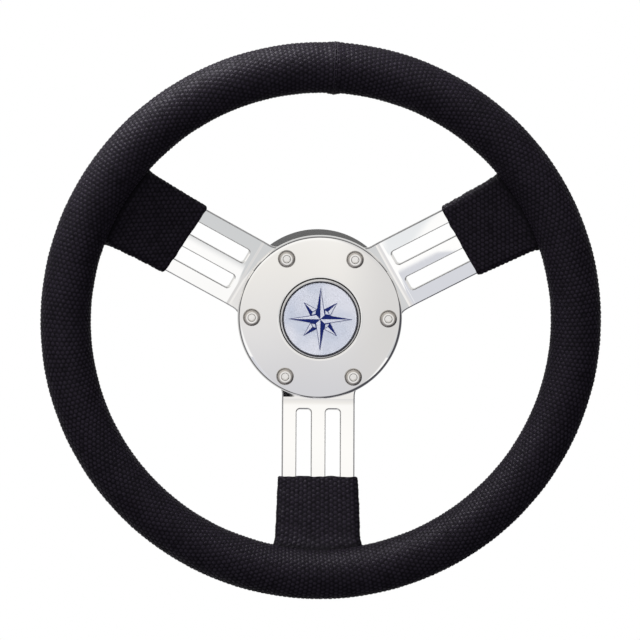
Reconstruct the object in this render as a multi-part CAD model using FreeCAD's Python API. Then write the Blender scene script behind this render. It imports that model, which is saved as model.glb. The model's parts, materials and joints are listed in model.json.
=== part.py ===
import FreeCAD, Part
import math
import os

# A three-spoke boat steering wheel, in millimetres and degrees.
# The wheel is drawn lying on its hub: its axis is +Z with the driver's side up, the lower spoke points to
# -Y, and the origin is the centre of the hub's back edge. Each piece is tipped about X as it is written
# out, so that in the files the driver looks along +Y, the lower spoke points down and +Z is up.

# Rim: a steel ring in moulded foam, inside a sewn cover
rim_outer_diameter = 350.0
grip_diameter = 31.6
cover_thickness = 1.4
glue_line = 0.05
ring_bar_diameter = 10.0
seam_angle = 87.8
seam_width = 1.6
seam_depth = 0.6

# Dish: from the front of the spider's disc up to the middle plane of the rim
dish_depth = 30.0

# Spider: one bent plate with a disc and three slotted arms, welded to the ring
spider_thickness = 4.0
spider_disc_diameter = 101.6
spider_hole_diameter = 44.0
arm_names = ["right", "left", "lower"]
first_arm_angle = 30.0
arm_width = 46.0
bars_per_arm = 3
slot_width = 9.1
slot_inner_radius = 59.2
slot_outer_radius = 136.0
slot_corner_radius = 2.2
slot_break = 0.6
outline_break = 0.8
root_fillet_radius = 8.0
bend_margin = 1.5
bend_radius = 18.0
weld_gap = 0.05

# Spoke covers: the padding and the cover go on over the outer ends of the arms
sleeve_start = 100.5
sleeve_side_padding = 2.1
sleeve_face_padding = 2.3
sleeve_swell = 2.4
sleeve_flare = 11.0
sleeve_neck = 6.5
sleeve_root_share = 0.62
slit_clearance = 0.1

# Hub: a black casting, hollow at the back, with a tapered bore for the helm's shaft
hub_length = 45.0
hub_back_diameter = 101.4
hub_front_diameter = 99.4
hub_wall = 4.7
hub_web = 8.0
hub_edge_radius = 1.5
bezel_recess_depth = 8.0
recess_step = 0.5
boss_diameter = 40.0
rib_thickness = 4.0
rib_depth = 14.0
bore_large_diameter = 19.05
bore_taper = 1.0 / 12.0
key_width = 4.76
key_depth = 2.4
nut_pocket_diameter = 34.0
nut_pocket_depth = 5.5

# Cap plate: a pressed and polished dome over the spider's disc, with a ring under its screws
plate_diameter = 103.8
plate_wall = 2.5
plate_edge_height = 5.2
plate_rise = 4.3
plate_edge_radius = 2.8
plate_hole_diameter = 51.2
support_ring_width = 10.6
support_ring_clearance = 0.3

# Button-head screws hold the plate and the spider to the hub
screw_count = 6
screw_circle_diameter = 86.0
screw_diameter = 6.0
screw_length = 25.0
screw_tip = 0.6
screw_head_diameter = 10.5
screw_head_height = 3.3
screw_head_edge = 0.4
screw_head_bulge = 0.55
screw_flat_diameter = 6.4
screw_socket_width = 4.0
screw_socket_depth = 2.1
screw_socket_sides = 6
screw_hole_clearance = 0.3
screw_seat_clearance = 0.4
thread_play = 0.05
screw_boss_wall = 3.5
screw_boss_spare = 3.0

# Centre cap: a push-in plug that a rubber ring holds, with a printed disc in its face
cap_height = 13.4
cap_gap = 0.4
cap_skirt_wall = 2.8
cap_roof = 1.8
cap_collar = 0.4
cap_bevel = 1.4
cap_lip_width = 0.8
cap_lip_drop = 0.6
seal_section_diameter = 2.0
seal_clearance = 0.1
seal_contact = 0.02
disc_thickness = 1.2
disc_gap = 0.1
disc_edge_radius = 0.4

# Compass rose printed on the disc
print_thickness = 0.15
rose_radius = 20.1
rose_short_radius = 14.95
rose_notch_radius = 4.0
rose_root_radius = 6.95
rose_shoulder = 0.8
rose_line = 0.3
rose_centre_radius = 0.45
rose_window_share = 0.7

# Two places closer than this are one place
touching = 0.01

# Places that follow from the sizes above
arm_step = 360.0 / len(arm_names)
arm_angles = [first_arm_angle + index * arm_step for index in range(len(arm_names))]
grip_radius = grip_diameter / 2
rim_radius = rim_outer_diameter / 2 - grip_radius
foam_radius = grip_radius - cover_thickness - glue_line
ring_bar_radius = ring_bar_diameter / 2
spider_disc_radius = spider_disc_diameter / 2
spider_back = hub_length
spider_middle = spider_back + spider_thickness / 2
spider_front = spider_back + spider_thickness
rim_plane = spider_front + dish_depth
bend_start = spider_disc_radius + bend_margin
hub_back_radius = hub_back_diameter / 2
bezel_recess_radius = hub_back_radius - hub_wall
nut_seat = hub_length - nut_pocket_depth
screw_circle_radius = screw_circle_diameter / 2
screw_radius = screw_diameter / 2
screw_hole_radius = screw_radius + screw_hole_clearance
screw_head_radius = screw_head_diameter / 2
plate_radius = plate_diameter / 2
plate_hole_radius = plate_hole_diameter / 2
dome_radius = (plate_radius ** 2 + plate_rise ** 2) / (2 * plate_rise)
dome_centre = spider_front + plate_edge_height + plate_rise - dome_radius
cap_radius = plate_hole_radius - cap_gap
cap_inner_radius = cap_radius - cap_skirt_wall
cap_crest = spider_front + cap_height
recess_radius = cap_radius - cap_bevel - cap_lip_width
disc_radius = recess_radius - disc_gap
disc_face = cap_crest - cap_lip_drop
disc_back = disc_face - disc_thickness
seal_radius = seal_section_diameter / 2
seal_ring_radius = plate_hole_radius - seal_radius - seal_contact

origin = FreeCAD.Vector(0, 0, 0)
x_axis = FreeCAD.Vector(1, 0, 0)
y_axis = FreeCAD.Vector(0, 1, 0)
z_axis = FreeCAD.Vector(0, 0, 1)


def cylinder(radius, bottom, top):
    return Part.makeCylinder(radius, top - bottom, FreeCAD.Vector(0, 0, bottom))


def turned(shape, angle):
    copy = shape.copy()
    copy.rotate(origin, z_axis, angle)
    return copy


def around_axis(shape, count):
    return [turned(shape, 360.0 * index / count) for index in range(count)]


def on_each_arm(shapes):
    return [turned(shape, angle) for angle in arm_angles for shape in shapes]


def closed_wire(start, steps):
    # A step is a corner (a, b), or ((a, b), (a, b)) for an arc through the first point to the second
    edges = []
    here = FreeCAD.Vector(start[0], 0, start[1])
    for step in steps:
        if isinstance(step[0], tuple):
            middle = FreeCAD.Vector(step[0][0], 0, step[0][1])
            there = FreeCAD.Vector(step[1][0], 0, step[1][1])
            edges.append(Part.Arc(here, middle, there).toShape())
        else:
            there = FreeCAD.Vector(step[0], 0, step[1])
            edges.append(Part.makeLine(here, there))
        here = there
    edges.append(Part.makeLine(here, FreeCAD.Vector(start[0], 0, start[1])))
    return Part.Wire(edges)


def revolved(start, steps):
    return Part.Face(closed_wire(start, steps)).revolve(origin, z_axis, 360)


def upright_edges(shape):
    return [edge for edge in shape.Edges if abs(edge.tangentAt(edge.FirstParameter).z) > 0.99]


def edge_middle(edge):
    return edge.valueAt((edge.FirstParameter + edge.LastParameter) / 2)


def rim_torus(section_radius):
    return Part.makeTorus(rim_radius, section_radius, FreeCAD.Vector(0, 0, rim_plane), z_axis)


def at_screw(shape):
    shape.translate(x_axis * screw_circle_radius)
    return shape


def dome_height(radius, depth=0.0):
    # Height of the cap plate's polished face at this distance from the axis, or of a surface below it
    return dome_centre + math.sqrt((dome_radius - depth) ** 2 - radius ** 2)


screw_seat = dome_height(screw_circle_radius + screw_head_radius)


# Slope of the arms

def bend_angle():
    # The straight part of the arm, carried on, meets the middle of the ring
    run = rim_radius - bend_start
    rest = bend_radius - (rim_plane - spider_middle)
    return math.asin(bend_radius / math.hypot(run, rest)) - math.atan2(rest, run)


slope = bend_angle()


def along_arm(shape, radius):
    # Moves a shape drawn round the origin, along +X, to this radius on the arm's slope
    shape.rotate(origin, y_axis, -math.degrees(slope))
    shape.translate(FreeCAD.Vector(radius, 0, rim_plane + (radius - rim_radius) * math.tan(slope)))
    return shape


# Spider

def bent_strip():
    # Side view of an arm: flat over the hub, then a bend, then the straight slope up to the rim
    centre_height = spider_middle + bend_radius
    top_radius = bend_radius - spider_thickness / 2
    back_radius = bend_radius + spider_thickness / 2
    reach = (rim_radius - bend_start - bend_radius * math.sin(slope)) / math.cos(slope)

    def on_bend(radius, angle):
        return (bend_start + radius * math.sin(angle), centre_height - radius * math.cos(angle))

    def at_rim(radius):
        x, z = on_bend(radius, slope)
        return (x + reach * math.cos(slope), z + reach * math.sin(slope))

    profile = closed_wire((0, spider_back), [
        (bend_start, spider_back),
        (on_bend(back_radius, slope / 2), on_bend(back_radius, slope)),
        at_rim(back_radius),
        at_rim(top_radius),
        on_bend(top_radius, slope),
        (on_bend(top_radius, slope / 2), (bend_start, spider_front)),
        (0, spider_front),
    ])
    strip = Part.Face(profile).extrude(y_axis * arm_width)
    strip.translate(y_axis * (-arm_width / 2))
    return strip


def arm_slots():
    # Cut square to the slope, and spaced so that all the bars of an arm have one width
    slot_count = bars_per_arm - 1
    bar_width = (arm_width - slot_count * slot_width) / bars_per_arm
    length = (slot_outer_radius - slot_inner_radius) / math.cos(slope)
    slots = []
    for index in range(slot_count):
        side = -arm_width / 2 + bar_width + index * (bar_width + slot_width)
        corner = FreeCAD.Vector(0, side, -spider_thickness)
        prism = Part.makeBox(length, slot_width, 2 * spider_thickness, corner)
        prism = prism.makeFillet(slot_corner_radius, upright_edges(prism))
        slots.append(along_arm(prism, slot_inner_radius))
    return slots


def near_slot(point):
    return 0 < point.x < slot_outer_radius + spider_thickness and abs(point.y) < arm_width / 2 - slot_break


def between_side_and_face(plate, edge):
    faces = plate.ancestorsOfType(edge, Part.Face)
    sides = 0
    for face in faces:
        u, v = face.Surface.parameter(edge_middle(edge))
        if abs(face.normalAt(u, v).z) < 0.5:
            sides += 1
    return len(faces) == 2 and sides == 1


def make_arm():
    # One arm with its slots, whose edges are broken front and back
    arm = bent_strip().cut(arm_slots())
    slot_edges = []
    for edge in arm.Edges:
        if near_slot(edge_middle(edge)) and between_side_and_face(arm, edge):
            slot_edges.append(edge)
    return arm.makeChamfer(slot_break, slot_edges)


def root_edges(plate):
    # The upright corners where the sides of the arms meet the disc
    roots = []
    for edge in upright_edges(plate):
        middle = edge_middle(edge)
        if abs(math.hypot(middle.x, middle.y) - spider_disc_radius) < touching:
            roots.append(edge)
    return roots


def outline_edges(plate):
    # The outer edges of the disc and the arms, front and back, which are broken too
    outline = []
    inner_end = spider_disc_radius - spider_thickness / 2
    outer_end = rim_radius - spider_thickness / 2
    for edge in plate.Edges:
        middle = edge_middle(edge)
        reach = math.hypot(middle.x, middle.y)
        views = [FreeCAD.Rotation(z_axis, -angle).multVec(middle) for angle in arm_angles]
        if any(near_slot(view) for view in views) or not inner_end < reach < outer_end:
            continue
        if between_side_and_face(plate, edge):
            outline.append(edge)
    return outline


def make_spider():
    plate = cylinder(spider_disc_radius, spider_back, spider_front)
    plate = plate.multiFuse(on_each_arm([make_arm()])).removeSplitter()
    plate = plate.makeFillet(root_fillet_radius, root_edges(plate))
    holes = around_axis(at_screw(cylinder(screw_hole_radius, spider_back, spider_front)), screw_count)
    plate = plate.cut(holes + [cylinder(spider_hole_diameter / 2, spider_back, spider_front)])
    plate = plate.makeChamfer(outline_break, outline_edges(plate))
    return plate.cut(rim_torus(ring_bar_radius + weld_gap))


# Rim and spoke covers

def arm_section(radius, width, thickness):
    # A flat oval across the arm: two straight sides with half-round ends
    half = (width - thickness) / 2
    edge = thickness / 2
    corners = [
        FreeCAD.Vector(0, -half, edge),
        FreeCAD.Vector(0, half, edge),
        FreeCAD.Vector(0, half, -edge),
        FreeCAD.Vector(0, -half, -edge),
    ]
    right_end = Part.Arc(corners[1], FreeCAD.Vector(0, half + edge, 0), corners[2]).toShape()
    left_end = Part.Arc(corners[3], FreeCAD.Vector(0, -half - edge, 0), corners[0]).toShape()
    outline = Part.Wire([
        Part.makeLine(corners[0], corners[1]),
        right_end,
        Part.makeLine(corners[2], corners[3]),
        left_end,
    ])
    return along_arm(outline, radius)


def spoke_body(skin):
    # The padded end of an arm: a flat sleeve that swells a little and flares into the grip.
    # The skin is how far this surface lies below the outside of the cover.
    inner_edge = rim_radius - grip_radius
    width = arm_width + 2 * sleeve_side_padding
    thickness = spider_thickness + 2 * sleeve_face_padding
    root_thickness = sleeve_root_share * grip_diameter
    neck = inner_edge - sleeve_neck
    stations = [
        (sleeve_start + skin, width, thickness),
        ((sleeve_start + neck) / 2, width + sleeve_swell, thickness),
        (neck, width + 2 * sleeve_swell, thickness + sleeve_swell / 2),
        (rim_radius - foam_radius * sleeve_root_share, width + 2 * sleeve_flare, root_thickness),
    ]
    sections = [arm_section(at, across - 2 * skin, deep - 2 * skin) for at, across, deep in stations]
    return Part.makeLoft(sections, True, False)


def arm_slit():
    # The slit in the sleeve's end, round the arm
    width = arm_width + 2 * slit_clearance
    thickness = spider_thickness + 2 * slit_clearance
    corner = FreeCAD.Vector(-cover_thickness, -width / 2, -thickness / 2)
    return along_arm(Part.makeBox(3 * cover_thickness, width, thickness, corner), sleeve_start)


def make_spoke_cover():
    sleeve = spoke_body(0).cut([spoke_body(cover_thickness), arm_slit()])
    return sleeve.cut(rim_torus(grip_radius + glue_line))


def make_rim_ring():
    return rim_torus(ring_bar_radius)


def make_rim_foam(spider):
    # One moulding round the ring and the ends of the arms
    foam = rim_torus(foam_radius).multiFuse(on_each_arm([spoke_body(cover_thickness + glue_line)]))
    return foam.cut([rim_torus(ring_bar_radius), spider])


def seam_groove():
    # Where the two ends of the rim's cover meet
    blank = Part.makeCylinder(grip_radius + cover_thickness, seam_width)
    groove = blank.cut(Part.makeCylinder(grip_radius - seam_depth, seam_width))
    groove.translate(z_axis * (-seam_width / 2))
    groove.rotate(origin, x_axis, 90)
    groove.translate(FreeCAD.Vector(rim_radius, 0, rim_plane))
    return turned(groove, seam_angle)


def make_rim_cover():
    cover = rim_torus(grip_radius).cut(rim_torus(foam_radius + glue_line))
    return cover.cut(on_each_arm([spoke_body(cover_thickness)]) + [seam_groove()])


# Hub

def hub_blank():
    blank = Part.makeCone(hub_back_radius, hub_front_diameter / 2, hub_length)
    back_edge = [edge for edge in blank.Edges if edge.BoundBox.ZMax < hub_edge_radius]
    return blank.makeFillet(hub_edge_radius, back_edge)


def hub_cavity():
    mouth = cylinder(bezel_recess_radius, 0, bezel_recess_depth)
    return mouth.fuse(cylinder(bezel_recess_radius - recess_step, 0, hub_length - hub_web))


def hub_inside():
    # The central boss, the ribs, and a boss under each screw
    web_back = hub_length - hub_web
    boss = cylinder(boss_diameter / 2, bezel_recess_depth, web_back)
    rib_corner = FreeCAD.Vector(0, -rib_thickness / 2, web_back - rib_depth)
    rib = Part.makeBox(screw_circle_radius, rib_thickness, rib_depth, rib_corner)
    screw_end = screw_seat - screw_length
    screw_boss = at_screw(cylinder(screw_radius + screw_boss_wall, screw_end - screw_boss_spare, web_back))
    return boss.multiFuse(around_axis(rib, screw_count) + around_axis(screw_boss, screw_count))


def shaft_bore():
    # The bore narrows from the helm's side to the seat of the shaft's nut, with one keyway
    length = nut_seat - bezel_recess_depth
    large_radius = bore_large_diameter / 2
    bottom = FreeCAD.Vector(0, 0, bezel_recess_depth)
    bore = Part.makeCone(large_radius, large_radius - bore_taper * length / 2, length, bottom)
    key_corner = FreeCAD.Vector(-key_width / 2, 0, bezel_recess_depth)
    return bore.fuse(Part.makeBox(key_width, large_radius + key_depth, length, key_corner))


def make_hub():
    hub = hub_blank().cut(hub_cavity())
    hub = hub.fuse(hub_inside()).common(hub_blank())
    thread_end = screw_seat - screw_length - thread_play
    thread = at_screw(cylinder(screw_radius + thread_play, thread_end, hub_length))
    pocket = cylinder(nut_pocket_diameter / 2, nut_seat, hub_length)
    return hub.cut(around_axis(thread, screw_count) + [pocket, shaft_bore()])


# Cap plate, support ring and screws

def dome(radius, depth):
    # A round block under the dome, or under a surface this far below it
    block = cylinder(radius, spider_front, cap_crest)
    return block.common(Part.makeSphere(dome_radius - depth, FreeCAD.Vector(0, 0, dome_centre)))


def make_cap_plate():
    plate = dome(plate_radius, 0)
    top_edge = [edge for edge in plate.Edges if edge.Closed and edge.BoundBox.ZMin > spider_front + plate_wall]
    plate = plate.makeFillet(plate_edge_radius, top_edge)
    plate = plate.cut(dome(plate_radius - plate_wall, plate_wall))
    hole = at_screw(cylinder(screw_hole_radius, spider_front, cap_crest))
    seat = at_screw(cylinder(screw_head_radius + screw_seat_clearance, screw_seat, cap_crest))
    holes = around_axis(hole, screw_count) + around_axis(seat, screw_count)
    return plate.cut(holes + [cylinder(plate_hole_radius, spider_front, cap_crest)])


def make_support_ring():
    outer_radius = plate_radius - plate_wall - support_ring_clearance
    ring = dome(outer_radius, plate_wall)
    hole = at_screw(cylinder(screw_hole_radius, spider_front, cap_crest))
    inside = cylinder(outer_radius - support_ring_width, spider_front, cap_crest)
    return ring.cut(around_axis(hole, screw_count) + [inside])


def make_screw():
    tip = screw_seat - screw_length
    top = screw_seat + screw_head_height
    low = (screw_head_radius, screw_seat + screw_head_edge)
    high = (screw_flat_diameter / 2, top)
    chord = math.hypot(low[0] - high[0], high[1] - low[1])
    crown = (
        (low[0] + high[0]) / 2 + screw_head_bulge * (high[1] - low[1]) / chord,
        (low[1] + high[1]) / 2 + screw_head_bulge * (low[0] - high[0]) / chord,
    )
    screw = revolved((0, tip), [
        (screw_radius - screw_tip, tip),
        (screw_radius, tip + screw_tip),
        (screw_radius, screw_seat),
        (screw_head_radius, screw_seat),
        low,
        (crown, high),
        (0, top),
    ])
    return at_screw(screw.cut(hex_socket(top)))


def hex_socket(top):
    corner_radius = screw_socket_width / 2 / math.cos(math.pi / screw_socket_sides)
    corners = []
    for index in range(screw_socket_sides + 1):
        angle = 2 * math.pi * index / screw_socket_sides
        x = corner_radius * math.cos(angle)
        y = corner_radius * math.sin(angle)
        corners.append(FreeCAD.Vector(x, y, top))
    return Part.Face(Part.makePolygon(corners)).extrude(z_axis * -screw_socket_depth)


def make_cap_screws():
    return Part.makeCompound(around_axis(make_screw(), screw_count))


# Centre cap

def make_centre_cap():
    groove_middle = dome_height(plate_hole_radius) - plate_wall / 2
    groove_half = seal_radius + seal_clearance
    groove_radius = seal_ring_radius - groove_half
    collar = dome_height(plate_hole_radius) + cap_collar
    lip_outer = cap_radius - cap_bevel
    lip_middle = (lip_outer + recess_radius) / 2
    return revolved((cap_inner_radius, spider_front), [
        (cap_radius, spider_front),
        (cap_radius, groove_middle - groove_half),
        (groove_radius, groove_middle - groove_half),
        (groove_radius, groove_middle + groove_half),
        (cap_radius, groove_middle + groove_half),
        (cap_radius, collar),
        (lip_outer, cap_crest - cap_lip_drop / 2),
        ((lip_middle, cap_crest), (recess_radius, cap_crest - cap_lip_drop / 2)),
        (recess_radius, disc_back),
        (0, disc_back),
        (0, disc_back - cap_roof),
        (cap_inner_radius, disc_back - cap_roof),
    ])


def make_cap_seal():
    height = dome_height(plate_hole_radius) - plate_wall / 2
    return Part.makeTorus(seal_ring_radius, seal_radius, FreeCAD.Vector(0, 0, height), z_axis)


def make_cap_disc():
    disc = cylinder(disc_radius, disc_back, disc_face)
    front_edge = [edge for edge in disc.Edges if edge.BoundBox.ZMin > disc_face - disc_edge_radius]
    return disc.makeFillet(disc_edge_radius, front_edge)


# Compass rose

def rose_point(radius, angle):
    return FreeCAD.Vector(radius * math.cos(math.radians(angle)), radius * math.sin(math.radians(angle)), 0)


def rose_shoulder_point(long_angle, notch_angle):
    # Where a short point leaves the side of its long neighbour
    tip = rose_point(rose_radius, long_angle)
    return tip + (rose_point(rose_notch_radius, notch_angle) - tip) * rose_shoulder


def printed(corners):
    raised = [corner + z_axis * disc_face for corner in corners]
    return Part.Face(Part.makePolygon(raised + raised[:1])).extrude(z_axis * print_thickness)


def toward(corners, centre, share):
    return [centre + (corner - centre) * share for corner in corners]


def line_share(centre, first, second):
    # How far the side between two corners moves in, towards the centre, to leave the printed line
    side = second - first
    return 1 - rose_line / ((first - centre).cross(side).Length / side.Length)


def light_halves():
    # The half of each point that lies clockwise of its ridge, drawn inside its outline
    halves = []
    for angle in range(0, 360, 90):
        tip = rose_point(rose_radius, angle)
        notch = rose_point(rose_notch_radius, angle - 45)
        half = toward([tip, notch], origin, line_share(origin, tip, notch))
        halves.append(printed([origin] + half).cut(cylinder(rose_centre_radius, disc_face, cap_crest)))
        short_tip = rose_point(rose_short_radius, angle + 45)
        root = rose_point(rose_root_radius, angle + 45)
        shoulder = rose_shoulder_point(angle, angle + 45)
        half = toward([short_tip, shoulder], root, line_share(root, short_tip, shoulder))
        halves.append(printed([root] + half))
    return halves


def root_windows():
    # The small kites at the foot of each short point, where the disc shows through
    windows = []
    for angle in range(45, 360, 90):
        kite = [
            rose_shoulder_point(angle - 45, angle),
            rose_point(rose_root_radius, angle),
            rose_shoulder_point(angle + 45, angle),
            rose_point(rose_notch_radius, angle),
        ]
        centre = (kite[0] + kite[1] + kite[2] + kite[3]) * 0.25
        windows.append(printed(toward(kite, centre, rose_window_share)))
    return windows


def make_compass_rose():
    outline = []
    for angle in range(0, 360, 90):
        outline.append(rose_point(rose_radius, angle))
        outline.append(rose_shoulder_point(angle, angle + 45))
        outline.append(rose_point(rose_short_radius, angle + 45))
        outline.append(rose_shoulder_point(angle + 90, angle + 45))
    return printed(outline).cut(light_halves() + root_windows())


def make_compass_lights():
    return Part.makeCompound(light_halves())


def write_piece(name, shape):
    shape.rotate(origin, x_axis, 90)
    shape.exportStep("parts/" + name + ".step")


def main():
    os.makedirs("parts", exist_ok=True)
    spider = make_spider()
    write_piece("rim_ring", make_rim_ring())
    write_piece("rim_foam", make_rim_foam(spider))
    write_piece("rim_cover", make_rim_cover())
    for name, angle in zip(arm_names, arm_angles):
        write_piece("spoke_cover_" + name, turned(make_spoke_cover(), angle))
    write_piece("spider", spider)
    write_piece("hub", make_hub())
    write_piece("cap_plate", make_cap_plate())
    write_piece("support_ring", make_support_ring())
    write_piece("cap_screws", make_cap_screws())
    write_piece("centre_cap", make_centre_cap())
    write_piece("cap_seal", make_cap_seal())
    write_piece("cap_disc", make_cap_disc())
    write_piece("compass_rose", make_compass_rose())
    write_piece("compass_lights", make_compass_lights())


main()
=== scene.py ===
import bpy
import json
import math
import numpy as np
from mathutils import Euler, Matrix, Vector

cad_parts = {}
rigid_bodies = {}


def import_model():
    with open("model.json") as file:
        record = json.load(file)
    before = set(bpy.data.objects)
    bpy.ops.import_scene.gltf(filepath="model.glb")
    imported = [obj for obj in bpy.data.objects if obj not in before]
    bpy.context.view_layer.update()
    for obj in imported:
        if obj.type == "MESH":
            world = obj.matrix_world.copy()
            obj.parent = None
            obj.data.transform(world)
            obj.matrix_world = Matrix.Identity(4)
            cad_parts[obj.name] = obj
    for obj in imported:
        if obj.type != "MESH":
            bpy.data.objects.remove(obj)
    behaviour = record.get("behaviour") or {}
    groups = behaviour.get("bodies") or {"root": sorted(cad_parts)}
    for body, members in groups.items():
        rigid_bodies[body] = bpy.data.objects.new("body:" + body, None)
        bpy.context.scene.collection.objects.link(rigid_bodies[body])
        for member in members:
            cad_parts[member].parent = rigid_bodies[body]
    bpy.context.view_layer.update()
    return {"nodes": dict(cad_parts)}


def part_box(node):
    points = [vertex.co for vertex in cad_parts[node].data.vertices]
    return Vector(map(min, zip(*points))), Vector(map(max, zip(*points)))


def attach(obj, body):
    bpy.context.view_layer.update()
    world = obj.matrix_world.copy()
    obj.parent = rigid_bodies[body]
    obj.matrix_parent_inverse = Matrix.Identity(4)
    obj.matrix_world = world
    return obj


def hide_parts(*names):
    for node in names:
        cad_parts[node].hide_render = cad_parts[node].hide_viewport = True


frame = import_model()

mm = 0.001


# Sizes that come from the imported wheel: it faces -Y, and its axis is the Y axis
rimLow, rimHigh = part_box("rim_cover")
gripRadius = (rimHigh.y - rimLow.y) / 2
rimRadius = (rimHigh.x - rimLow.x) / 2 - gripRadius
rimPlane = (rimHigh.y + rimLow.y) / 2
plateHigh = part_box("cap_plate")[1]
plateRadius = plateHigh.x
capLow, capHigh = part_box("centre_cap")
capRadius = capHigh.x
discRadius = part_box("cap_disc")[1].x
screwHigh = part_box("cap_screws")[1]
sleeveAngles = {"right": 30.0, "left": 150.0, "lower": 270.0}


# Small tools for working by hand on one object at a time

def deselectAll():
    bpy.ops.object.select_all(action="DESELECT")


def pick(piece):
    deselectAll()
    piece.select_set(True)
    bpy.context.view_layer.objects.active = piece


def startEdit(piece, action="SELECT"):
    pick(piece)
    bpy.ops.object.mode_set(mode="EDIT")
    bpy.ops.mesh.select_all(action=action)


def stopEdit():
    bpy.ops.object.mode_set(mode="OBJECT")


def latest(name):
    piece = bpy.context.view_layer.objects.active
    piece.name = name
    piece.data.name = name
    return piece


def applyModifier(piece, kind, **values):
    pick(piece)
    bpy.ops.object.modifier_add(type=kind)
    modifier = piece.modifiers[-1]
    for key, value in values.items():
        setattr(modifier, key, value)
    bpy.ops.object.modifier_apply(modifier=modifier.name)


def points(piece):
    flat = np.empty(len(piece.data.vertices) * 3)
    piece.data.vertices.foreach_get("co", flat)
    return flat.reshape(-1, 3)


def movePoints(piece, places):
    piece.data.vertices.foreach_set("co", places.ravel())
    piece.data.update()


def weld(piece, distance=0.00004):
    startEdit(piece)
    bpy.ops.mesh.remove_doubles(threshold=distance)
    bpy.ops.mesh.normals_make_consistent(inside=False)
    stopEdit()


def smooth(piece, degrees):
    pick(piece)
    bpy.ops.object.shade_smooth_by_angle(angle=math.radians(degrees))


def frameAt(where, first, second, third):
    # The matrix that puts a piece at a place, with its X, Y and Z along the three given directions
    matrix = Matrix((first, second, third)).transposed().to_4x4()
    matrix.translation = where
    return matrix


def setLevel(piece, values):
    # How high each point of the leather is raised, which its material reads: painted shade where it is low, in the
    # grooves, and a painted highlight where it is high, on the crowns
    level = piece.data.attributes.get("raised") or piece.data.attributes.new("raised", "FLOAT", "POINT")
    level.data.foreach_set("value", values)


def joinAll(pieces, name):
    deselectAll()
    for piece in pieces:
        piece.select_set(True)
    bpy.context.view_layer.objects.active = pieces[0]
    bpy.ops.object.join()
    bpy.ops.object.transform_apply(location=True, rotation=True, scale=True)
    return latest(name)


def copyPiece(piece, name):
    copy = piece.copy()
    copy.data = piece.data.copy()
    copy.name = name
    bpy.context.scene.collection.objects.link(copy)
    return copy


def finishPiece(piece, material, nodes=()):
    piece.data.materials.clear()
    piece.data.materials.append(material)
    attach(piece, "root")
    if nodes:
        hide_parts(*nodes)
    print("made", piece.name, len(piece.data.polygons), "faces")


# Materials

def newMaterial(name):
    material = bpy.data.materials.new(name)
    material.use_nodes = True
    return material, material.node_tree, material.node_tree.nodes["Principled BSDF"].inputs


def noiseOn(tree, scale, detail=4.0, roughness=0.55):
    place = tree.nodes.new("ShaderNodeTexCoord")
    noise = tree.nodes.new("ShaderNodeTexNoise")
    noise.inputs["Scale"].default_value = scale
    noise.inputs["Detail"].default_value = detail
    noise.inputs["Roughness"].default_value = roughness
    tree.links.new(place.outputs["Object"], noise.inputs["Vector"])
    return noise.outputs["Fac"]


def rampFrom(tree, source, low, high, start=0.0, end=1.0):
    ramp = tree.nodes.new("ShaderNodeMapRange")
    ramp.inputs["From Min"].default_value = start
    ramp.inputs["From Max"].default_value = end
    ramp.inputs["To Min"].default_value = low
    ramp.inputs["To Max"].default_value = high
    tree.links.new(source, ramp.inputs["Value"])
    return ramp.outputs["Result"]


def bumpFrom(tree, source, distance, strength, below=None):
    bump = tree.nodes.new("ShaderNodeBump")
    bump.inputs["Distance"].default_value = distance
    bump.inputs["Strength"].default_value = strength
    tree.links.new(source, bump.inputs["Height"])
    if below is not None:
        tree.links.new(below, bump.inputs["Normal"])
    return bump.outputs["Normal"]


def combine(tree, first, second, operation="MULTIPLY"):
    both = tree.nodes.new("ShaderNodeMath")
    both.operation = operation
    tree.links.new(first, both.inputs[0])
    tree.links.new(second, both.inputs[1])
    return both.outputs["Value"]


def mixColour(tree, factor, low, high):
    # low is a colour, or the output of another node
    mix = tree.nodes.new("ShaderNodeMix")
    mix.data_type = "RGBA"
    tree.links.new(factor, mix.inputs["Factor"])
    if isinstance(low, tuple):
        mix.inputs["A"].default_value = (*low, 1)
    else:
        tree.links.new(low, mix.inputs["A"])
    mix.inputs["B"].default_value = (*high, 1)
    return mix.outputs["Result"]


# groove and crown are the leather's colours in the grooves and on the pillow tops: the dark grooves are painted shade
# and the lighter crowns a painted highlight
leatherLook = {
    "groove": (0.0016, 0.0012, 0.0022),
    "crown": (0.0125, 0.0099, 0.0160),
    "gloss": 0.06,
    "grooveRough": 0.75,
    "crownRough": 0.34,
    "patchScale": 55.0,
    "grainScale": 2600.0,
    "pillowScale": 380.0,
    "grainDepth": 0.06 * mm,
}


def makeLeather():
    # Black embossed leather: dull grooves painted dark as shade, glossier crowns painted lighter as a highlight, a
    # fine pore grain and uneven tone
    material, tree, shader = newMaterial("embossedLeather")
    raised = tree.nodes.new("ShaderNodeAttribute")
    raised.attribute_name = "raised"
    patches = rampFrom(tree, noiseOn(tree, leatherLook["patchScale"], 3.0), 0.7, 1.2, 0.3, 0.7)
    pillows = rampFrom(tree, noiseOn(tree, leatherLook["pillowScale"], 1.0, 0.5), 0.45, 1.5, 0.3, 0.7)
    grain = noiseOn(tree, leatherLook["grainScale"], 3.0, 0.6)
    level = combine(tree, raised.outputs["Fac"], combine(tree, pillows, patches))
    # The colour goes from painted shade in the grooves to a painted highlight on the crowns, by the height of each
    # point
    tree.links.new(mixColour(tree, level, leatherLook["groove"], leatherLook["crown"]), shader["Base Color"])
    shader["Specular IOR Level"].default_value = leatherLook["gloss"]
    rough = rampFrom(tree, level, leatherLook["grooveRough"], leatherLook["crownRough"])
    rough = combine(tree, rough, rampFrom(tree, grain, 0.88, 1.12, 0.3, 0.7))
    tree.links.new(rough, shader["Roughness"])
    tree.links.new(bumpFrom(tree, grain, leatherLook["grainDepth"], 0.6), shader["Normal"])
    return material


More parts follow.
